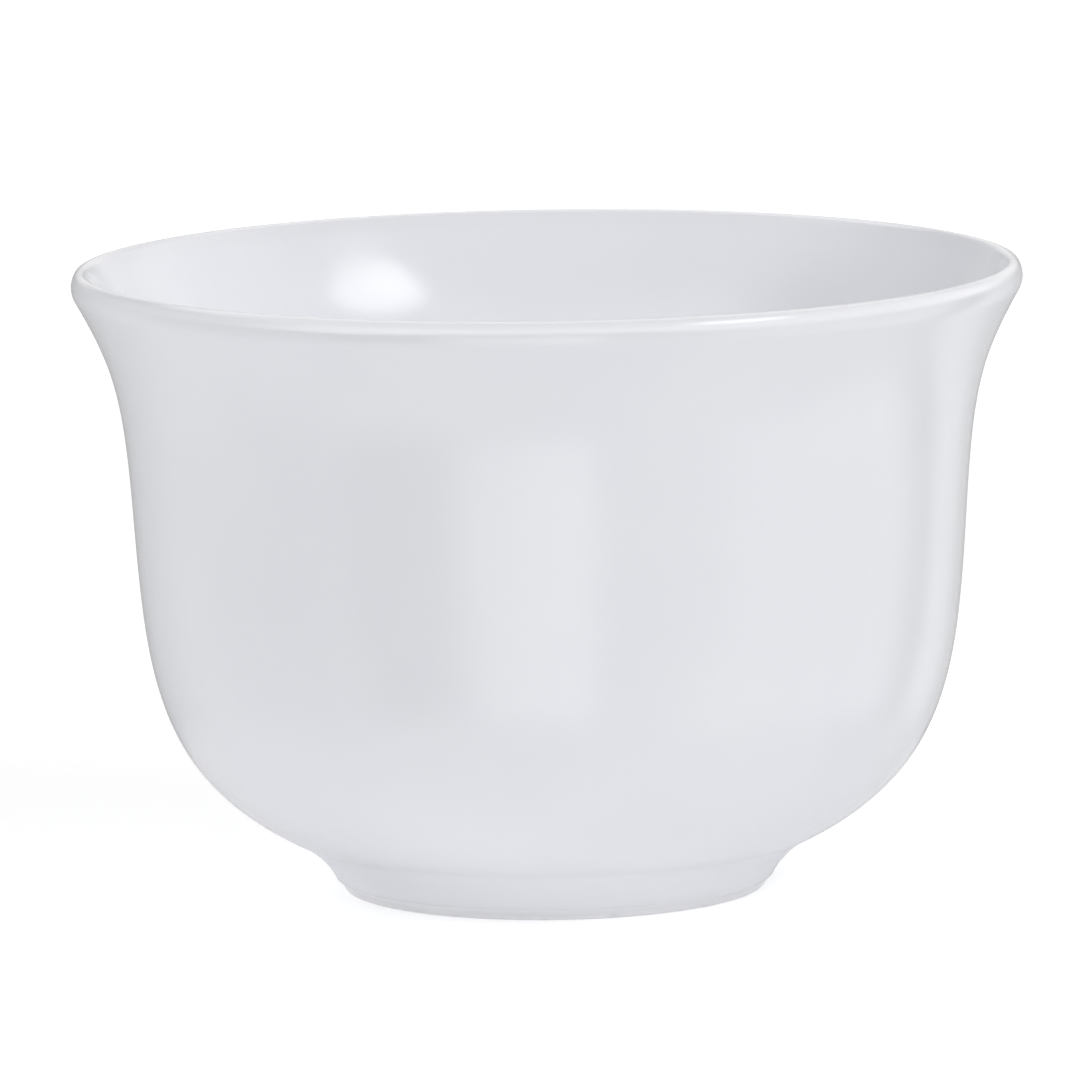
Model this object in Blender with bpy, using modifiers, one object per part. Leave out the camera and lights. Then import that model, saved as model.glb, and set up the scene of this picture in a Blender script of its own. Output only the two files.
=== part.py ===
"""Bouillon cup of white glazed china: a bell-shaped bowl without handles, on a short foot ring.

The cup is one fired clay body under a fired glaze. The glaze lies in two separate coats, because the
standing edge of the foot ring is left bare: one coat runs from the outside of the foot over the lip to
the middle of the inside, and the other lines the recess inside the foot ring.

All three pieces are turned about Z from one finished outline. Points of an outline are (radius, height).
They run from the middle of the inside floor over the lip to the middle of the underside, with the clay
on their right hand. The origin is on the axis, in the plane that the foot stands on.
"""

import math

import bpy
from mathutils import Vector
from mathutils.geometry import interpolate_bezier

# Overall sizes over the glaze, in metres
RIM_DIAMETER = 0.0984
HEIGHT = 0.0651

# Bell-shaped wall: a rim that leans out, a waist that stands nearly upright, an underside that rises
RIM_LEAN = math.radians(29.4)
RIM_REACH = 0.0082
WAIST_DIAMETER = 0.0865
WAIST_HEIGHT = 0.0400
WAIST_LEAN = math.radians(3.8)
WAIST_REACH_UP = 0.0118
WAIST_REACH_DOWN = 0.0173
UNDERSIDE_RISE = math.radians(24.4)
UNDERSIDE_REACH = 0.0171

# Thickness of the ware
LIP_THICKNESS = 0.0028
WALL_THICKNESS = 0.0032
BELLY_THICKNESS = 0.0042
FLOOR_THICKNESS = 0.0046
FLOOR_BLEND_HEIGHT = 0.0024
FLOOR_BLEND_REACH = 0.0090

# Foot ring: its side leans out up to the corner with the underside, which a hollow neck rounds off
FOOT_DIAMETER = 0.0443
FOOT_HEIGHT = 0.0042
FOOT_LEAN = math.radians(27.5)
FOOT_RING_WIDTH = 0.0040
FOOT_EDGE_RADIUS = 0.0008
NECK_REACH = 0.0017
RECESS_DEPTH = 0.0030
RECESS_FILLET = 0.0013

# Glaze: its thickness, the bare edge below it, its straight hem above that, and the hair of space under it
GLAZE_THICKNESS = 0.00025
BARE_HEIGHT = 0.0012
HEM_HEIGHT = 0.0004
GLAZE_GAP = 0.00005
COAT_DEPTH = GLAZE_THICKNESS + GLAZE_GAP

# Facets
TURN_STEPS = 56
BELLY_POINTS = 9
FLARE_POINTS = 5
LIP_POINTS = 7
BLEND_POINTS = 4
EDGE_POINTS = 3
AXIS_MERGE = 0.000001

# Looks
CLAY_COLOUR = (0.80, 0.79, 0.76, 1)
CLAY_ROUGHNESS = 0.65
GLAZE_COLOUR = (0.84, 0.85, 0.87, 1)
GLAZE_ROUGHNESS = 0.12

DOWN = -math.pi / 2
UP = math.pi / 2


def leaning(lean):
    """Unit direction that leans outwards from upright by this angle."""
    return Vector((math.sin(lean), math.cos(lean)))


def clay_side(run):
    """Unit direction from an outline into the clay, where the outline runs this way."""
    return Vector((run.y, -run.x))


def bezier(start, start_handle, end_handle, end, count):
    """Points of a cubic curve, both ends included."""
    corners = [point.to_3d() for point in (start, start_handle, end_handle, end)]
    return [point.to_2d() for point in interpolate_bezier(*corners, count)]


def blend(start, corner, end):
    """Points of a curve that rounds off a corner between two straight stretches, both ends included."""
    share = 2 / 3
    return bezier(start, start.lerp(corner, share), end.lerp(corner, share), end, BLEND_POINTS)


def arc(centre, radius, first_angle, last_angle, count):
    """Points of a circular arc, both ends included."""
    turn = (last_angle - first_angle) / (count - 1)
    angles = [first_angle + turn * i for i in range(count)]
    return [centre + radius * Vector((math.cos(angle), math.sin(angle))) for angle in angles]


def ease(share):
    """Goes from 0 to 1 without a kink at either end."""
    return share * share * (3 - 2 * share)


def steps_into_clay(outline):
    """For each point, the move that takes both of its stretches one unit into the clay."""
    sides = [clay_side((after - before).normalized()) for before, after in zip(outline, outline[1:])]
    steps = []
    for side, next_side in zip(sides[:1] + sides, sides + sides[-1:]):
        middle = (side + next_side).normalized()
        steps.append(middle / middle.dot(side))
    return steps


def inset(outline, depth):
    """The outline moved into the clay."""
    return [point + step * depth for point, step in zip(outline, steps_into_clay(outline))]


def lip_centre():
    half = LIP_THICKNESS / 2
    return Vector((RIM_DIAMETER / 2 - half, HEIGHT - half))


def foot_side(height):
    """The point on the leaning side of the foot at this height."""
    return Vector((FOOT_DIAMETER / 2 + height * math.tan(FOOT_LEAN), height))


def underside_run():
    return leaning(UP - UNDERSIDE_RISE)


def underside_start():
    """Where the underside of the bowl leaves the neck."""
    return foot_side(FOOT_HEIGHT) + underside_run() * NECK_REACH


def outer_wall():
    """The outside from the lip down to the neck, as its flare and its belly."""
    rim_run = leaning(RIM_LEAN)
    waist_run = leaning(WAIST_LEAN)
    rim = lip_centre() + clay_side(rim_run) * (LIP_THICKNESS / 2)
    waist = Vector((WAIST_DIAMETER / 2, WAIST_HEIGHT))
    start = underside_start()
    over_waist = waist + waist_run * WAIST_REACH_UP
    under_waist = waist - waist_run * WAIST_REACH_DOWN
    flare = bezier(rim, rim - rim_run * RIM_REACH, over_waist, waist, FLARE_POINTS)
    belly = bezier(waist, under_waist, start + underside_run() * UNDERSIDE_REACH, start, BELLY_POINTS)
    return flare, belly


def thicknesses(first, last, count):
    """Thickness of the wall at evenly spread points of one stretch, both ends included."""
    return [first + (last - first) * ease(i / (count - 1)) for i in range(count)]


def inner_wall(flare, belly):
    """The inside from the lip down: the outside moved in by the thickness of the ware."""
    outside = flare + belly[1:]
    depths = thicknesses(LIP_THICKNESS, WALL_THICKNESS, len(flare))
    depths += thicknesses(WALL_THICKNESS, BELLY_THICKNESS, len(belly))[1:]
    return [point + step * depth for point, step, depth in zip(outside, steps_into_clay(outside), depths)]


def with_floor(wall):
    """The inside with its lowest stretch replaced by a flat floor and the curve up from it."""
    floor = RECESS_DEPTH + FLOOR_THICKNESS
    kept = [point for point in wall if point.y > floor + FLOOR_BLEND_HEIGHT]
    run = kept[-1] - kept[-2]
    corner = kept[-1] + run * ((floor - kept[-1].y) / run.y)
    level = corner - Vector((FLOOR_BLEND_REACH, 0))
    return kept + blend(kept[-1], corner, level)[1:] + [Vector((0, floor))]


def lip(inner_rim):
    """The half round of the lip between the inside and the outside."""
    side = inner_rim - lip_centre()
    first = math.atan2(side.y, side.x)
    return arc(lip_centre(), LIP_THICKNESS / 2, first, first - math.pi, LIP_POINTS)[1:-1]


def neck():
    """The hollow curve from the underside down to the side of the foot, and on to where the glaze ends."""
    hem_top = foot_side(BARE_HEIGHT + HEM_HEIGHT)
    return blend(underside_start(), foot_side(FOOT_HEIGHT), hem_top)[1:] + [foot_side(BARE_HEIGHT)]


def coat_outline():
    """What the large coat covers, from the middle of the floor to where the glaze ends on the foot."""
    flare, belly = outer_wall()
    wall = inner_wall(flare, belly)
    return with_floor(wall)[::-1] + lip(wall[0]) + flare + belly[1:] + neck()


def recess_radius():
    return FOOT_DIAMETER / 2 - FOOT_RING_WIDTH


def bare_outline():
    """The standing edge of the foot ring, drawn one coat lower so that its clay stands at height 0."""
    radius = FOOT_EDGE_RADIUS
    centre_height = radius - COAT_DEPTH
    corner = foot_side(-COAT_DEPTH)
    outer = Vector((corner.x - radius * math.tan((UP - FOOT_LEAN) / 2), centre_height))
    inner = Vector((recess_radius() + radius, centre_height))
    return arc(outer, radius, -FOOT_LEAN, DOWN, EDGE_POINTS) + arc(inner, radius, DOWN, 2 * DOWN, EDGE_POINTS)


def recess_outline():
    """The recess inside the foot ring, from where its glaze ends to the middle of the underside."""
    wall = recess_radius()
    radius = min(RECESS_FILLET, RECESS_DEPTH - BARE_HEIGHT - HEM_HEIGHT)
    fillet = arc(Vector((wall - radius, RECESS_DEPTH - radius)), radius, 0, UP, EDGE_POINTS)
    return [Vector((wall, BARE_HEIGHT))] + fillet + [Vector((0, RECESS_DEPTH))]


def new_material(name, colour, roughness):
    material = bpy.data.materials.new(name)
    material.use_nodes = True
    shader = material.node_tree.nodes["Principled BSDF"]
    shader.inputs["Base Color"].default_value = colour
    shader.inputs["Roughness"].default_value = roughness
    return material


def turned(name, outline, material, collection):
    """A solid turned about Z from an outline whose two ends are on the axis."""
    points = [(point.x, 0, point.y) for point in outline]
    edges = [(i, i + 1) for i in range(len(points) - 1)]
    mesh = bpy.data.meshes.new(name)
    mesh.from_pydata(points, edges, [])
    mesh.materials.append(material)
    piece = bpy.data.objects.new(name, mesh)
    collection.objects.link(piece)
    screw = piece.modifiers.new("turn", "SCREW")
    screw.axis = "Z"
    screw.steps = TURN_STEPS
    screw.render_steps = TURN_STEPS
    screw.use_merge_vertices = True
    screw.merge_threshold = AXIS_MERGE
    screw.use_smooth_shade = True


def build():
    for old in list(bpy.data.objects):
        bpy.data.objects.remove(old)
    collection = bpy.data.collections.new("bouillon_cup")
    bpy.context.scene.collection.children.link(collection)
    clay = new_material("bare_china", CLAY_COLOUR, CLAY_ROUGHNESS)
    glaze = new_material("white_glaze", GLAZE_COLOUR, GLAZE_ROUGHNESS)

    coat = coat_outline()
    recess = recess_outline()
    finished = coat + bare_outline() + recess
    glaze_back = inset(finished, GLAZE_THICKNESS)
    coat_back = glaze_back[: len(coat)]
    recess_back = glaze_back[-len(recess) :]

    turned("china_body", inset(finished, COAT_DEPTH), clay, collection)
    turned("glaze_coat", coat + coat_back[::-1], glaze, collection)
    turned("base_glaze", recess_back[::-1] + recess, glaze, collection)


build()
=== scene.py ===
"""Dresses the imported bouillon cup: fine turned surfaces, glaze and bare china, studio light and camera."""

import math

import bpy
from mathutils import Matrix, Vector
from mathutils.geometry import interpolate_bezier


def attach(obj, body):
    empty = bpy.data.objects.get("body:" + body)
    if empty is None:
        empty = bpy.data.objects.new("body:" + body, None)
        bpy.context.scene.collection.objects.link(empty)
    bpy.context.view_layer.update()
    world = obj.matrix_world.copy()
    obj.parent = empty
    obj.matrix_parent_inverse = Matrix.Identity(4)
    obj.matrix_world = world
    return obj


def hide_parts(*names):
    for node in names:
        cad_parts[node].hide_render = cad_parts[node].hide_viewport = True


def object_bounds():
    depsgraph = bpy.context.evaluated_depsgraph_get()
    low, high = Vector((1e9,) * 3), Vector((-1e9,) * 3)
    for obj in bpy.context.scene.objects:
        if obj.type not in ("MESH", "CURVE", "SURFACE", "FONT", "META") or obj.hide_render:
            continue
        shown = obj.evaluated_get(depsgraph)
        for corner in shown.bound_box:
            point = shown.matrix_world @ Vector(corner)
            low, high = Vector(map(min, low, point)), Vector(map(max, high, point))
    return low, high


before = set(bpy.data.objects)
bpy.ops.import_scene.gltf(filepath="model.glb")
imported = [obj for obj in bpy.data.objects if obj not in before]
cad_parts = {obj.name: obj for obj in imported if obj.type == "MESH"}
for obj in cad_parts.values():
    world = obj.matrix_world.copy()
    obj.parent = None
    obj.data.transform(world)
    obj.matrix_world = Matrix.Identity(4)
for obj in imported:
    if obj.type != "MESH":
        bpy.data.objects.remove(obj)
cad_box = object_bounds()

# The cup's outline, in metres: the sizes of the solids, with the rim and the height read from them.
# The lip and the neck differ a little from the solids, to follow the photograph more closely.
# A lean is measured from upright. A reach is a length along the direction that a curve has at its end.
RIM_RADIUS = cad_box[1].x
HEIGHT = cad_box[1].z
RIM_LEAN = math.radians(29.4)
RIM_REACH = 0.0082
WAIST_RADIUS = 0.04325
WAIST_HEIGHT = 0.0400
WAIST_LEAN = math.radians(3.8)
WAIST_REACH_UP = 0.0118
WAIST_REACH_DOWN = 0.0173
UNDERSIDE_RISE = math.radians(24.4)
UNDERSIDE_REACH = 0.0171
LIP_THICKNESS = 0.0024
LIP_INNER_RADIUS = 0.0008
LIP_OUTER_RADIUS = 0.0024
WALL_THICKNESS = 0.0032
BELLY_THICKNESS = 0.0042
FLOOR_HEIGHT = 0.0076
FLOOR_BLEND_HEIGHT = 0.0024
FLOOR_BLEND_REACH = 0.0090
FOOT_RADIUS = 0.02215
FOOT_HEIGHT = 0.0042
FOOT_LEAN = math.radians(27.5)
FOOT_EDGE_RADIUS = 0.0008
NECK_REACH = 0.0017
NECK_BLEND_REACH = 0.0024
NECK_FULLNESS = 0.6
RECESS_RADIUS = 0.01815
RECESS_DEPTH = 0.0030
RECESS_FILLET = 0.0013

# The glaze on the clay: its thickness, the height to which the foot is bare, the hem above that,
# and how far the clay lies under the finished outline
GLAZE_THICKNESS = 0.00025
BARE_HEIGHT = 0.0012
HEM_HEIGHT = 0.0004
COAT_DEPTH = 0.0003

# Facets of the fine surfaces
TURN_STEPS = 192
BELLY_POINTS = 40
FLARE_POINTS = 24
LIP_POINTS = 17
BLEND_POINTS = 12
EDGE_POINTS = 8

# Glaze: a cool white with faint clouds and few specks, slightly greyer where it is thin and as painted shade
# on the lip's crest, slightly deeper where it pools, with stirring marks on the inside floor.
# A fade gives the noise values between which a pattern goes from nothing to full.
GLAZE_COLOUR = (0.846, 0.852, 0.890)
GLAZE_CLOUD_COLOUR = (0.834, 0.843, 0.884)
GLAZE_THIN_AND_SHADE_COLOUR = (0.818, 0.823, 0.860)
GLAZE_POOL_COLOUR = (0.832, 0.845, 0.886)
SPECK_COLOUR = (0.550, 0.530, 0.500)
CLOUD_SIZE = 0.018
CLOUD_FADE = (0.35, 0.65)
# Height down from the rim of the grey on the lip: thin glaze there, and painted shade that dims the lit crest
LIP_THIN_AND_SHADE_HEIGHT = 0.0026
HEM_THIN_HEIGHT = 0.0009
POOL_WIDTH = 0.0042
FLOOR_EDGE = Vector((0.0235, 0.0084))
SPECK_SPACING = 0.0050
SPECK_RADIUS = 0.00013
SPECK_SHARE = 0.02
GLAZE_ROUGHNESS = (0.09, 0.13)
GLOSS_SIZE = 0.006
GLOSS_FADE = (0.3, 0.7)
STIRRED_ROUGHNESS = 0.10
STIR_MARK_WIDTH = 0.0004
STIR_MARK_FADE = (0.5, 0.7)
PEEL_SIZE = 0.0035
PEEL_DEPTH = 0.000020
SWELL_SIZE = 0.022
SWELL_DEPTH = 0.000120

# Bare china: a matte white with fine grain, turned grinding marks and grey rubs from table tops
# The china's white is written lighter than the body's own warmer white, as painted light that offsets the
# shade round the standing foot
CHINA_LIFTED_COLOUR = (0.858, 0.861, 0.888)
CHINA_MARK_COLOUR = (0.800, 0.802, 0.825)
CHINA_RUB_COLOUR = (0.480, 0.475, 0.465)
CHINA_ROUGHNESS = (0.55, 0.75)
GRIND_MARK_WIDTH = 0.00025
GRIND_MARK_FADE = (0.4, 0.7)
GRIND_DEPTH = 0.000030
GRAIN_SIZE = 0.00025
GRAIN_FADE = (0.3, 0.7)
GRAIN_DEPTH = 0.000012
RUB_SIZE = 0.0040
RUB_FADE = (0.58, 0.72)

# Floor: pale, lifted to white for the camera, and glowing a little as a light table does.
# Gloss sees it only near the cup: beyond the mirror radius it sees the studio instead.
FLOOR_HALF = 3.0
FLOOR_COLOUR = (0.90, 0.90, 0.90)
FLOOR_LIFT = 0.40
FLOOR_GLOW = 0.270
FLOOR_MIRROR_GLOW = 0.07
FLOOR_MIRROR_RADIUS = (0.060, 0.085)

# Studio light, in degrees: azimuth from the camera's side, positive to the right, and elevation.
# Soft light for matte surfaces: an even ring round the horizon, and broad lamps of one sharpness each
RING_LEVEL = 0.405
RING_TOP_LEVEL = 0.044
SOFT_LAMPS = (
    {"azimuth": 0, "elevation": 15, "sharpness": 3, "level": 0.36},
    {"azimuth": 180, "elevation": 15, "sharpness": 3, "level": 0.37},
    {"azimuth": -135, "elevation": 25, "sharpness": 4, "level": 0.50},
    {"azimuth": -90, "elevation": 15, "sharpness": 3, "level": 0.48},
    {"azimuth": 45, "elevation": 50, "sharpness": 6, "level": 0.66},
    {"azimuth": 0, "elevation": 90, "sharpness": 20, "level": 0.60},
)
# Softboxes, which matte and glossy surfaces both see: a small one brightens the upper left of a wide one.
# The edge fades from nothing to full between these distances from the middle, in half sizes of the box
SOFTBOXES = (
    {"azimuth": 51.0, "elevation": 39.8, "half_width": 9.0, "half_height": 4.5, "level": 1.7},
    {"azimuth": 54.4, "elevation": 37.1, "half_width": 16.4, "half_height": 7.9, "level": 4.2},
)
SOFTBOX_EDGE = (1.3, 0.6)
# Pale walls round the table, which only the gloss shows: levels by azimuth, below and above the horizon
LOW_WALLS = (
    (-180, 0.40),
    (-150, 0.45),
    (-115, 0.75),
    (-64, 0.67),
    (-47, 0.00),
    (-33, 0.00),
    (-17, 1.55),
    (7, 2.08),
    (18, 0.69),
    (43, 0.90),
    (58, 1.48),
    (105, 1.55),
    (125, 0.56),
    (137, 1.15),
    (160, 0.65),
    (180, 0.40),
)
HIGH_WALLS = (
    (-180, 1.2),
    (-145, 0.65),
    (-90, 1.6),
    (-45, 4.2),
    (20, 3.7),
    (55, 3.7),
    (95, 3.7),
    (120, 3.2),
    (150, 1.7),
    (180, 1.2),
)
WALL_RANGE = 5.0
# Table under the low walls, ceiling over the high ones, and a card whose negative level darkens the walls
# behind it
TABLE_LEVEL = 0.85
CEILING_LEVEL = 2.9
GREY_CARD = {"azimuth": -3.0, "elevation": 10.0, "half_width": 40.0, "half_height": 10.0, "level": -2.0}
# Heights on a sphere of radius 1 between which one light goes over into the next
RING_FADE = (0.4, 1.0)
LOW_TO_TABLE = (-0.45, -0.68)
LOW_TO_HIGH = (0.0, 0.2)
HIGH_TO_CEILING = (0.50, 0.70)

# Camera, from the photograph's outline: distance, height angle, roll, lens, and how far the middle of the
# frame lies from the aiming point, to the left and up
AIM = Vector((0, 0, 0.032))
CAMERA_DISTANCE = 1.2
CAMERA_RISE = math.radians(8.465)
CAMERA_ROLL = math.radians(0.83)
LENS_MM = 385.32
SENSOR_MM = 36
CLIP_START = 0.01
FRAME_LEFT = 0.001141
FRAME_UP = 0.004133

DOWN = -math.pi / 2
UP = math.pi / 2


# Outline: points are (radius, height), and run from the middle of the inside over the lip to the underside

def leaning(lean):
    return Vector((math.sin(lean), math.cos(lean)))


def clay_side(run):
    """The direction across a run, towards the clay where the run follows the outline."""
    return Vector((run.y, -run.x))


def bezier(start, start_handle, end_handle, end, count):
    corners = [point.to_3d() for point in (start, start_handle, end_handle, end)]
    return [point.to_2d() for point in interpolate_bezier(*corners, count)]


def blend(start, corner, end, count):
    """Rounds a corner by a curve of the second degree."""
    share = 2 / 3
    return bezier(start, start.lerp(corner, share), end.lerp(corner, share), end, count)


def arc(centre, radius, first_angle, last_angle, count):
    turn = (last_angle - first_angle) / (count - 1)
    angles = [first_angle + turn * i for i in range(count)]
    return [centre + radius * Vector((math.cos(angle), math.sin(angle))) for angle in angles]


def ease(share):
    return share * share * (3 - 2 * share)


def even_shares(count):
    """The shares of a way after each of its even steps."""
    return [i / count for i in range(1, count + 1)]


def steps_into_clay(outline):
    """For each point, the step that moves both of its sides into the clay by one unit."""
    sides = [clay_side((after - before).normalized()) for before, after in zip(outline, outline[1:])]
    steps = []
    for side, next_side in zip(sides[:1] + sides, sides + sides[-1:]):
        middle = (side + next_side).normalized()
        steps.append(middle / middle.dot(side))
    return steps


def inset(outline, depth):
    return [point + step * depth for point, step in zip(outline, steps_into_clay(outline))]


def foot_side(height):
    return Vector((FOOT_RADIUS + height * math.tan(FOOT_LEAN), height))


def lip_arcs():
    """The middles of the lip's tighter inner arc and wider outer arc, and the angle where the two meet."""
    step = LIP_INNER_RADIUS - LIP_OUTER_RADIUS
    meeting = math.acos((LIP_THICKNESS - LIP_INNER_RADIUS - LIP_OUTER_RADIUS) / step) - RIM_LEAN
    between = Vector((math.cos(meeting), math.sin(meeting))) * step
    outer = Vector((RIM_RADIUS - LIP_OUTER_RADIUS, HEIGHT - LIP_INNER_RADIUS + between.y))
    return outer - between, outer, meeting


def lip():
    inner, outer, meeting = lip_arcs()
    crest = arc(inner, LIP_INNER_RADIUS, math.pi - RIM_LEAN, meeting, LIP_POINTS)
    under = arc(outer, LIP_OUTER_RADIUS, meeting, -RIM_LEAN, LIP_POINTS)
    return crest + under[1:-1]


def outer_wall():
    """The flare from the lip to the waist, and the belly from the waist to the underside."""
    rim_run = leaning(RIM_LEAN)
    waist_run = leaning(WAIST_LEAN)
    underside_run = leaning(UP - UNDERSIDE_RISE)
    rim = lip_arcs()[1] + clay_side(rim_run) * LIP_OUTER_RADIUS
    waist = Vector((WAIST_RADIUS, WAIST_HEIGHT))
    start = foot_side(FOOT_HEIGHT) + underside_run * NECK_REACH
    over_waist = waist + waist_run * WAIST_REACH_UP
    under_waist = waist - waist_run * WAIST_REACH_DOWN
    flare = bezier(rim, rim - rim_run * RIM_REACH, over_waist, waist, FLARE_POINTS)
    belly = bezier(waist, under_waist, start + underside_run * UNDERSIDE_REACH, start, BELLY_POINTS)
    return flare, belly


def thicknesses(first, last, count):
    return [first + (last - first) * ease(i / (count - 1)) for i in range(count)]


def inner_wall(flare, belly):
    outside = flare + belly[1:]
    depths = thicknesses(LIP_THICKNESS, WALL_THICKNESS, len(flare))
    depths += thicknesses(WALL_THICKNESS, BELLY_THICKNESS, len(belly))[1:]
    steps = steps_into_clay(outside)
    return [point + step * depth for point, step, depth in zip(outside, steps, depths)]


def with_floor(wall):
    """Ends the inner wall above the floor, and leads it over a blend to the middle of the floor."""
    kept = [point for point in wall if point.y > FLOOR_HEIGHT + FLOOR_BLEND_HEIGHT]
    run = kept[-1] - kept[-2]
    corner = kept[-1] + run * ((FLOOR_HEIGHT - kept[-1].y) / run.y)
    level = corner - Vector((FLOOR_BLEND_REACH, 0))
    middle = Vector((0, FLOOR_HEIGHT))
    flat = [level.lerp(middle, share) for share in even_shares(EDGE_POINTS)]
    return kept + blend(kept[-1], corner, level, 2 * BLEND_POINTS)[1:] + flat


def neck(belly, hem_top):
    """Leads the belly into the foot: the belly down to where the neck starts, and the neck after it."""
    corner = foot_side(FOOT_HEIGHT)
    kept = [point for point in belly if (point - corner).length > NECK_BLEND_REACH]
    start = kept[-1]
    run = (start - kept[-2]).normalized()
    start_handle = start + run * ((corner - start).length * NECK_FULLNESS)
    end_handle = hem_top.lerp(corner, NECK_FULLNESS)
    return kept + bezier(start, start_handle, end_handle, hem_top, 2 * BLEND_POINTS)[1:]


def coat_outline():
    flare, belly = outer_wall()
    wall = inner_wall(flare, belly)
    foot = neck(belly, foot_side(BARE_HEIGHT + HEM_HEIGHT)) + [foot_side(BARE_HEIGHT)]
    return with_floor(wall)[::-1] + lip() + flare + foot[1:]


def bare_outline():
    radius = FOOT_EDGE_RADIUS
    centre_height = radius - COAT_DEPTH
    corner = foot_side(-COAT_DEPTH)
    outer = Vector((corner.x - radius * math.tan((UP - FOOT_LEAN) / 2), centre_height))
    inner = Vector((RECESS_RADIUS + radius, centre_height))
    outer_edge = arc(outer, radius, -FOOT_LEAN, DOWN, EDGE_POINTS)
    inner_edge = arc(inner, radius, DOWN, 2 * DOWN, EDGE_POINTS)
    return outer_edge + inner_edge


def recess_outline():
    centre = Vector((RECESS_RADIUS - RECESS_FILLET, RECESS_DEPTH - RECESS_FILLET))
    fillet = arc(centre, RECESS_FILLET, 0, UP, EDGE_POINTS)
    flat = [Vector((centre.x * (1 - share), RECESS_DEPTH)) for share in even_shares(EDGE_POINTS)]
    return [Vector((RECESS_RADIUS, BARE_HEIGHT))] + fillet + flat


def round_hem(front, back):
    """Joins the front of a coat to its back, from the end of one to the end of the other, by a half round."""
    run = (front[-1] - front[-2]).normalized()
    radius = (front[-1] - back[-1]).length / 2
    middle = front[-1].lerp(back[-1], 0.5) - run * radius
    side = (front[-1] - back[-1]).normalized() * radius
    turns = [math.pi * i / (EDGE_POINTS - 1) for i in range(EDGE_POINTS)]
    half_round = [middle + side * math.cos(turn) + run * (radius * math.sin(turn)) for turn in turns]
    return front[:-1] + half_round + back[-2::-1]


# Node building

class Nodes:
    """Adds nodes to one tree and wires them. A value is a number, a colour or another node's output."""

    def __init__(self, tree):
        self.tree = tree

    def add(self, kind, **settings):
        made = self.tree.nodes.new(kind)
        for name, value in settings.items():
            setattr(made, name, value)
        return made

    def feed(self, socket, value):
        if isinstance(value, bpy.types.NodeSocket):
            self.tree.links.new(value, socket)
        elif isinstance(value, tuple):
            socket.default_value = (*value, 1)
        else:
            socket.default_value = value

    def maths(self, operation, *values):
        made = self.add("ShaderNodeMath", operation=operation)
        for socket, value in zip(made.inputs, values):
            self.feed(socket, value)
        return made.outputs[0]

    def mixed(self, share, first, second):
        """The first value where the share is 0 and the second where it is 1."""
        return self.maths("MULTIPLY_ADD", share, self.maths("SUBTRACT", second, first), first)

    def fade(self, value, start, end, low=0.0, high=1.0):
        """Goes smoothly from low to high while the value goes from start to end."""
        made = self.add("ShaderNodeMapRange", interpolation_type="SMOOTHSTEP")
        for socket, given in zip(made.inputs, (value, start, end, low, high)):
            self.feed(socket, given)
        return made.outputs[0]

    def ramp(self, value, stops, level):
        """A smooth curve through stops of place, from 0 to 1, and height, up to the level."""
        made = self.add("ShaderNodeValToRGB")
        made.color_ramp.interpolation = "EASE"
        elements = made.color_ramp.elements
        for place, _ in stops[1:-1]:
            elements.new(place)
        for element, (place, height) in zip(elements, stops):
            element.position = place
            element.color = (height / level, height / level, height / level, 1)
        self.feed(made.inputs[0], value)
        return self.maths("MULTIPLY", made.outputs["Color"], level)

    def noise(self, place, size, detail=2.0):
        """Cloudy values round one half, whose clouds have this size in metres."""
        made = self.add("ShaderNodeTexNoise")
        self.feed(made.inputs["Vector"], place)
        self.feed(made.inputs["Scale"], 1 / size)
        self.feed(made.inputs["Detail"], detail)
        return made.outputs["Fac"]

    def tint(self, share, colour, other):
        """The first colour where the share is 0 and the other where it is 1."""
        made = self.add("ShaderNodeMix", data_type="RGBA")
        sockets = {socket.identifier: socket for socket in made.inputs}
        self.feed(sockets["Factor_Float"], share)
        self.feed(sockets["A_Color"], colour)
        self.feed(sockets["B_Color"], other)
        return next(socket for socket in made.outputs if socket.identifier == "Result_Color")

    def split(self, vector):
        made = self.add("ShaderNodeSeparateXYZ")
        self.feed(made.inputs[0], vector)
        return made.outputs[0], made.outputs[1], made.outputs[2]

    def join(self, x, y, z):
        made = self.add("ShaderNodeCombineXYZ")
        for socket, value in zip(made.inputs, (x, y, z)):
            self.feed(socket, value)
        return made.outputs[0]

    def distance(self, across, along):
        """Length of a way made of two steps at right angles."""
        made = self.add("ShaderNodeVectorMath", operation="LENGTH")
        self.feed(made.inputs[0], self.join(across, along, 0.0))
        return made.outputs["Value"]


# Materials

def new_material(name):
    material = bpy.data.materials.new(name)
    material.use_nodes = True
    return material, Nodes(material.node_tree), material.node_tree.nodes["Principled BSDF"]


def cup_place(nodes):
    """The place on the cup, its distance from the axis and its height."""
    place = nodes.add("ShaderNodeTexCoord").outputs["Object"]
    x, y, height = nodes.split(place)
    return place, nodes.distance(x, y), height


def from_ring(nodes, radius, height, ring):
    """Distance from a ring round the axis, given as its radius and height."""
    outwards = nodes.maths("SUBTRACT", radius, ring.x)
    upwards = nodes.maths("SUBTRACT", height, ring.y)
    return nodes.distance(outwards, upwards)


def ring_marks(nodes, place, radius, width):
    """Cloudy values that run round the axis in thin rings of this width."""
    x, y, _ = nodes.split(place)
    across = nodes.maths("DIVIDE", radius, width)
    around = nodes.join(nodes.maths("DIVIDE", x, radius), nodes.maths("DIVIDE", y, radius), across)
    return nodes.noise(around, 1.0)


def add_relief(nodes, shader, *reliefs):
    """Gives the shader a bumpy normal from reliefs, each of them cloudy values and their depth in metres."""
    height = 0.0
    for values, depth in reliefs:
        height = nodes.maths("MULTIPLY_ADD", values, depth, height)
    bump = nodes.add("ShaderNodeBump")
    nodes.feed(bump.inputs["Distance"], 1.0)
    nodes.feed(bump.inputs["Height"], height)
    nodes.feed(shader.inputs["Normal"], bump.outputs[0])


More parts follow.
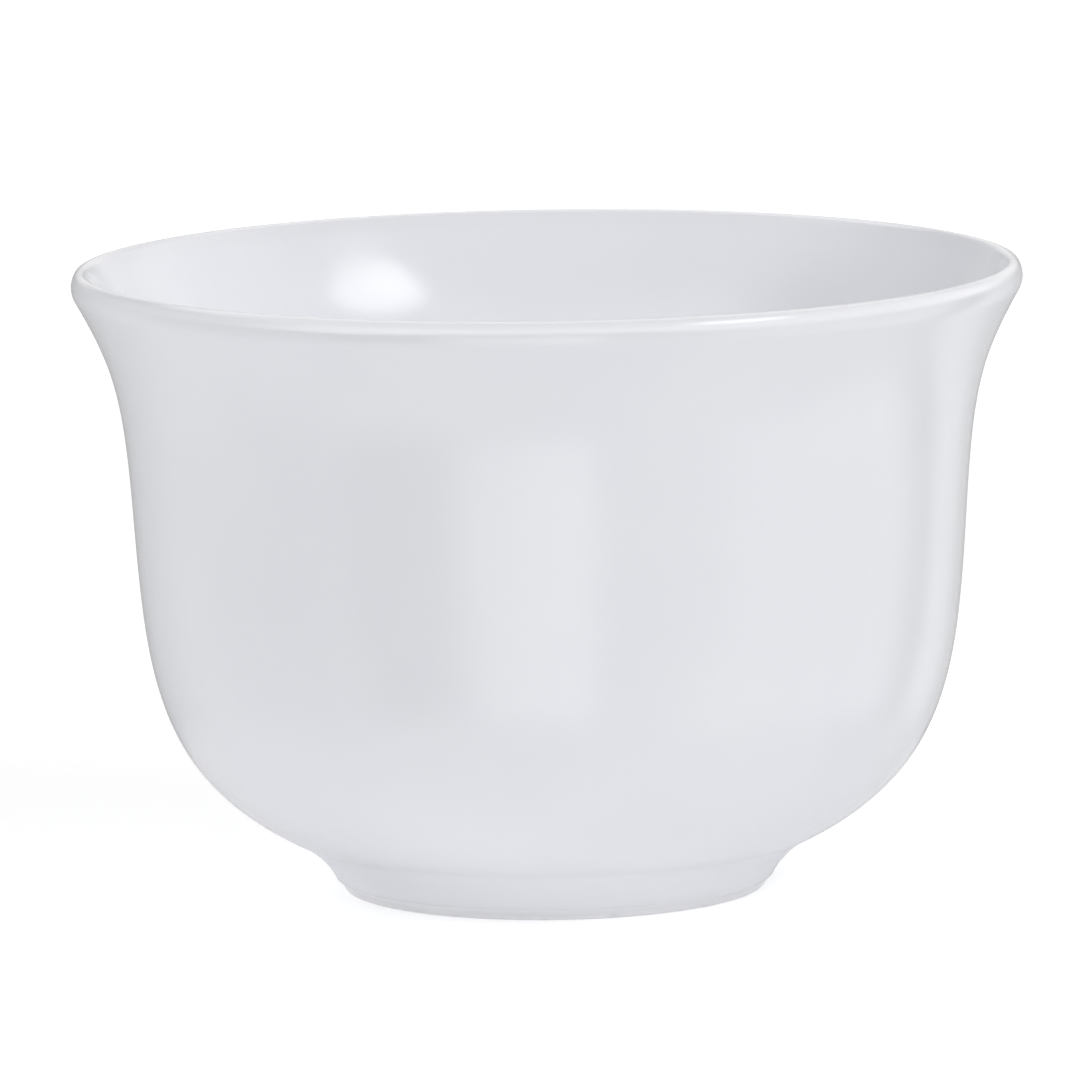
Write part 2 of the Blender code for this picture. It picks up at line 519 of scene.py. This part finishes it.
def specks(nodes, place):
    """The share of speck colour: 1 in the middle of a few small specks."""
    cells = nodes.add("ShaderNodeTexVoronoi")
    nodes.feed(cells.inputs["Vector"], place)
    nodes.feed(cells.inputs["Scale"], 1 / SPECK_SPACING)
    spot = nodes.fade(cells.outputs["Distance"], SPECK_RADIUS / SPECK_SPACING, 0.0)
    pick = nodes.maths("LESS_THAN", nodes.split(cells.outputs["Color"])[0], SPECK_SHARE)
    return nodes.maths("MULTIPLY", spot, pick)


def glaze_colour(nodes, place, radius, height):
    clouds = nodes.fade(nodes.noise(place, CLOUD_SIZE), *CLOUD_FADE)
    colour = nodes.tint(clouds, GLAZE_COLOUR, GLAZE_CLOUD_COLOUR)
    for ring in (foot_side(FOOT_HEIGHT), FLOOR_EDGE):
        pooled = nodes.fade(from_ring(nodes, radius, height, ring), POOL_WIDTH, 0.0)
        colour = nodes.tint(pooled, colour, GLAZE_POOL_COLOUR)
    # The grey on the lip's crest is partly thin glaze and partly painted shade that dims the lit crest; at
    # the hem it is thin glaze.
    lip_thin_and_shade = nodes.fade(height, HEIGHT - LIP_THIN_AND_SHADE_HEIGHT, HEIGHT)
    hem_thin = nodes.fade(height, BARE_HEIGHT + HEM_THIN_HEIGHT, BARE_HEIGHT)
    colour = nodes.tint(nodes.maths("MAXIMUM", lip_thin_and_shade, hem_thin), colour, GLAZE_THIN_AND_SHADE_COLOUR)
    return nodes.tint(specks(nodes, place), colour, SPECK_COLOUR)


def glaze_roughness(nodes, place, radius, height):
    """A gloss that varies a little, and is duller in the stirring marks on the middle of the inside floor."""
    gloss = nodes.fade(nodes.noise(place, GLOSS_SIZE), *GLOSS_FADE, *GLAZE_ROUGHNESS)
    inside = nodes.fade(height, RECESS_DEPTH, FLOOR_HEIGHT)
    from_middle = from_ring(nodes, radius, height, Vector((0, FLOOR_HEIGHT)))
    middle = nodes.fade(from_middle, FLOOR_EDGE.x, FLOOR_EDGE.x / 2)
    rings = ring_marks(nodes, place, radius, STIR_MARK_WIDTH)
    marks = nodes.fade(rings, *STIR_MARK_FADE, 0.0, STIRRED_ROUGHNESS)
    stirred = nodes.maths("MULTIPLY", nodes.maths("MULTIPLY", inside, middle), marks)
    return nodes.maths("ADD", gloss, stirred)


def glaze_material():
    material, nodes, shader = new_material("white_glaze")
    place, radius, height = cup_place(nodes)
    nodes.feed(shader.inputs["Base Color"], glaze_colour(nodes, place, radius, height))
    nodes.feed(shader.inputs["Roughness"], glaze_roughness(nodes, place, radius, height))
    peel = nodes.noise(place, PEEL_SIZE)
    swell = nodes.noise(place, SWELL_SIZE, detail=0.0)
    add_relief(nodes, shader, (peel, PEEL_DEPTH), (swell, SWELL_DEPTH))
    return material


def bare_material():
    material, nodes, shader = new_material("bare_china")
    place, radius, height = cup_place(nodes)
    grind = ring_marks(nodes, place, radius, GRIND_MARK_WIDTH)
    grain = nodes.noise(place, GRAIN_SIZE)
    rubs = nodes.fade(nodes.noise(place, RUB_SIZE), *RUB_FADE)
    standing = nodes.fade(height, BARE_HEIGHT / 2, 0.0)
    rubbed = nodes.maths("MULTIPLY", rubs, nodes.maths("MULTIPLY", standing, grind))
    # The china's white is lifted as painted light against the shade at the standing foot.
    colour = nodes.tint(nodes.fade(grind, *GRIND_MARK_FADE), CHINA_LIFTED_COLOUR, CHINA_MARK_COLOUR)
    nodes.feed(shader.inputs["Base Color"], nodes.tint(rubbed, colour, CHINA_RUB_COLOUR))
    nodes.feed(shader.inputs["Roughness"], nodes.fade(grain, *GRAIN_FADE, *CHINA_ROUGHNESS))
    add_relief(nodes, shader, (grind, GRIND_DEPTH), (grain, GRAIN_DEPTH))
    return material


def floor_material():
    """A matte white that the camera doesn't see from below, nor the gloss beyond the mirror radius."""
    material, nodes, shader = new_material("floor_white")
    nodes.tree.nodes.remove(shader)
    ray = nodes.add("ShaderNodeLightPath").outputs
    x, y, _ = nodes.split(nodes.add("ShaderNodeTexCoord").outputs["Object"])
    far = nodes.fade(nodes.distance(x, y), *FLOOR_MIRROR_RADIUS)
    unmirrored = nodes.maths("MULTIPLY", far, ray["Is Glossy Ray"])
    below = nodes.add("ShaderNodeNewGeometry").outputs["Backfacing"]
    from_below = nodes.maths("MULTIPLY", below, ray["Is Camera Ray"])
    lift = nodes.maths("MULTIPLY", ray["Is Camera Ray"], FLOOR_LIFT)
    lift = nodes.maths("MULTIPLY_ADD", ray["Is Diffuse Ray"], FLOOR_GLOW, lift)
    lift = nodes.maths("MULTIPLY_ADD", ray["Is Glossy Ray"], FLOOR_MIRROR_GLOW, lift)
    matte = nodes.add("ShaderNodeBsdfDiffuse")
    nodes.feed(matte.inputs["Color"], FLOOR_COLOUR)
    glow = nodes.add("ShaderNodeEmission")
    nodes.feed(glow.inputs["Strength"], lift)
    lit = nodes.add("ShaderNodeAddShader")
    nodes.feed(lit.inputs[0], matte.outputs[0])
    nodes.feed(lit.inputs[1], glow.outputs[0])
    shown = nodes.add("ShaderNodeMixShader")
    nodes.feed(shown.inputs[0], nodes.maths("MAXIMUM", unmirrored, from_below))
    nodes.feed(shown.inputs[1], lit.outputs[0])
    nodes.feed(shown.inputs[2], nodes.add("ShaderNodeBsdfTransparent").outputs[0])
    nodes.feed(material.node_tree.nodes["Material Output"].inputs["Surface"], shown.outputs[0])
    return material


# Pieces

def turned(name, outline, material, node):
    """A closed surface turned from an outline whose two ends are on the axis. It stands for a CAD node."""
    ends = [(0, 0, outline[0].y), (0, 0, outline[-1].y)]
    ring = outline[1:-1]
    count = len(ring)
    points = list(ends)
    for k in range(TURN_STEPS):
        angle = math.tau * k / TURN_STEPS
        points += [(p.x * math.cos(angle), p.x * math.sin(angle), p.y) for p in ring]
    faces = []
    for k in range(TURN_STEPS):
        here = len(ends) + k * count
        there = len(ends) + (k + 1) % TURN_STEPS * count
        faces.append((0, here, there))
        faces.append((1, there + count - 1, here + count - 1))
        faces += [(here + i, here + i + 1, there + i + 1, there + i) for i in range(count - 1)]
    mesh = bpy.data.meshes.new(name)
    mesh.from_pydata(points, [], faces)
    mesh.materials.append(material)
    mesh.shade_smooth()
    piece = bpy.data.objects.new(name, mesh)
    bpy.context.scene.collection.objects.link(piece)
    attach(piece, "root")
    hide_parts(node)
    return piece


def make_cup():
    glaze = glaze_material()
    bare = bare_material()

    coat = coat_outline()
    recess = recess_outline()
    finished = coat + bare_outline() + recess
    glaze_back = inset(finished, GLAZE_THICKNESS)
    coat_back = glaze_back[: len(coat)]
    recess_back = glaze_back[-len(recess) :]
    coat_skin = round_hem(coat, coat_back)
    recess_skin = round_hem(recess[::-1], recess_back[::-1])[::-1]

    coat_piece = turned("cup_glaze", coat_skin, glaze, "glaze_coat")
    recess_piece = turned("cup_base_glaze", recess_skin, glaze, "base_glaze")
    body_piece = turned("cup_body", inset(finished, COAT_DEPTH), bare, "china_body")


def make_floor():
    corners = [(-1, -1), (1, -1), (1, 1), (-1, 1)]
    mesh = bpy.data.meshes.new("floor")
    mesh.from_pydata([(x * FLOOR_HALF, y * FLOOR_HALF, 0) for x, y in corners], [], [(0, 1, 2, 3)])
    mesh.materials.append(floor_material())
    floor = bpy.data.objects.new("floor", mesh)
    bpy.context.scene.collection.objects.link(floor)


# World

def towards(azimuth, elevation):
    level = math.cos(math.radians(elevation))
    angle = math.radians(azimuth)
    return Vector((math.sin(angle) * level, -math.cos(angle) * level, math.sin(math.radians(elevation))))


def soft_lamp(nodes, direction, lamp):
    """Light that is strongest from one side and fades to nothing a quarter turn away."""
    made = nodes.add("ShaderNodeVectorMath", operation="DOT_PRODUCT")
    nodes.feed(made.inputs[0], direction)
    nodes.feed(made.inputs[1], towards(lamp["azimuth"], lamp["elevation"]))
    facing = nodes.maths("POWER", nodes.maths("MAXIMUM", made.outputs["Value"], 0.0), lamp["sharpness"])
    return nodes.maths("MULTIPLY", facing, lamp["level"])


def softbox(nodes, turn, rise, box):
    """An oval light with a soft edge, for a direction given by its azimuth and elevation."""
    across = nodes.maths("SUBTRACT", turn, math.radians(box["azimuth"]))
    along = nodes.maths("SUBTRACT", rise, math.radians(box["elevation"]))
    across = nodes.maths("DIVIDE", across, math.radians(box["half_width"]))
    along = nodes.maths("DIVIDE", along, math.radians(box["half_height"]))
    return nodes.fade(nodes.distance(across, along), *SOFTBOX_EDGE, 0.0, box["level"])


def walls(nodes, turn, levels):
    """Levels by azimuth, on a ramp that starts and ends behind the cup."""
    share = nodes.maths("MULTIPLY_ADD", turn, 1 / math.tau, 0.5)
    return nodes.ramp(share, [(azimuth / 360 + 0.5, level) for azimuth, level in levels], WALL_RANGE)


def matte_light(nodes, direction, z):
    """What matte surfaces see: the ring and the soft lamps."""
    level = nodes.fade(z, *RING_FADE, RING_LEVEL, RING_TOP_LEVEL)
    for lamp in SOFT_LAMPS:
        level = nodes.maths("ADD", level, soft_lamp(nodes, direction, lamp))
    return level


def gloss_light(nodes, turn, rise, z):
    """What glossy surfaces see: the table, the walls, the ceiling and the card."""
    level = nodes.mixed(nodes.fade(z, *LOW_TO_TABLE), walls(nodes, turn, LOW_WALLS), TABLE_LEVEL)
    level = nodes.mixed(nodes.fade(z, *LOW_TO_HIGH), level, walls(nodes, turn, HIGH_WALLS))
    level = nodes.mixed(nodes.fade(z, *HIGH_TO_CEILING), level, CEILING_LEVEL)
    return nodes.maths("ADD", level, softbox(nodes, turn, rise, GREY_CARD))


def studio_world():
    world = bpy.data.worlds.new("studio")
    world.use_nodes = True
    nodes = Nodes(world.node_tree)
    direction = nodes.add("ShaderNodeTexCoord").outputs["Generated"]
    x, y, z = nodes.split(direction)
    turn = nodes.maths("ARCTAN2", x, nodes.maths("MULTIPLY", y, -1.0))
    rise = nodes.maths("ARCSINE", z)

    ray = nodes.add("ShaderNodeLightPath").outputs
    soft = matte_light(nodes, direction, z)
    light = nodes.mixed(ray["Is Glossy Ray"], soft, gloss_light(nodes, turn, rise, z))
    for box in SOFTBOXES:
        light = nodes.maths("ADD", light, softbox(nodes, turn, rise, box))
    seen = nodes.maths("MAXIMUM", ray["Is Camera Ray"], ray["Is Transmission Ray"])
    background = world.node_tree.nodes["Background"]
    nodes.feed(background.inputs["Color"], (1, 1, 1))
    nodes.feed(background.inputs["Strength"], nodes.mixed(seen, light, 1.0))
    return world


# Camera

def looking(direction):
    """The turn of a camera that looks in this direction, with the photograph's roll."""
    return direction.to_track_quat("-Z", "Y").to_matrix() @ Matrix.Rotation(-CAMERA_ROLL, 3, "Z")


def make_camera():
    back = Vector((0, -math.cos(CAMERA_RISE), math.sin(CAMERA_RISE)))
    place = AIM + back * CAMERA_DISTANCE
    target = AIM + looking(-back) @ Vector((-FRAME_LEFT, FRAME_UP, 0))
    data = bpy.data.cameras.new("camera")
    data.lens = LENS_MM
    data.sensor_width = SENSOR_MM
    data.clip_start = CLIP_START
    camera = bpy.data.objects.new("camera", data)
    camera.matrix_world = Matrix.LocRotScale(place, looking(target - place), None)
    bpy.context.scene.collection.objects.link(camera)
    return camera


make_cup()
make_floor()
bpy.context.scene.world = studio_world()
bpy.context.scene.camera = make_camera()
bpy.context.scene.view_settings.view_transform = "Standard"
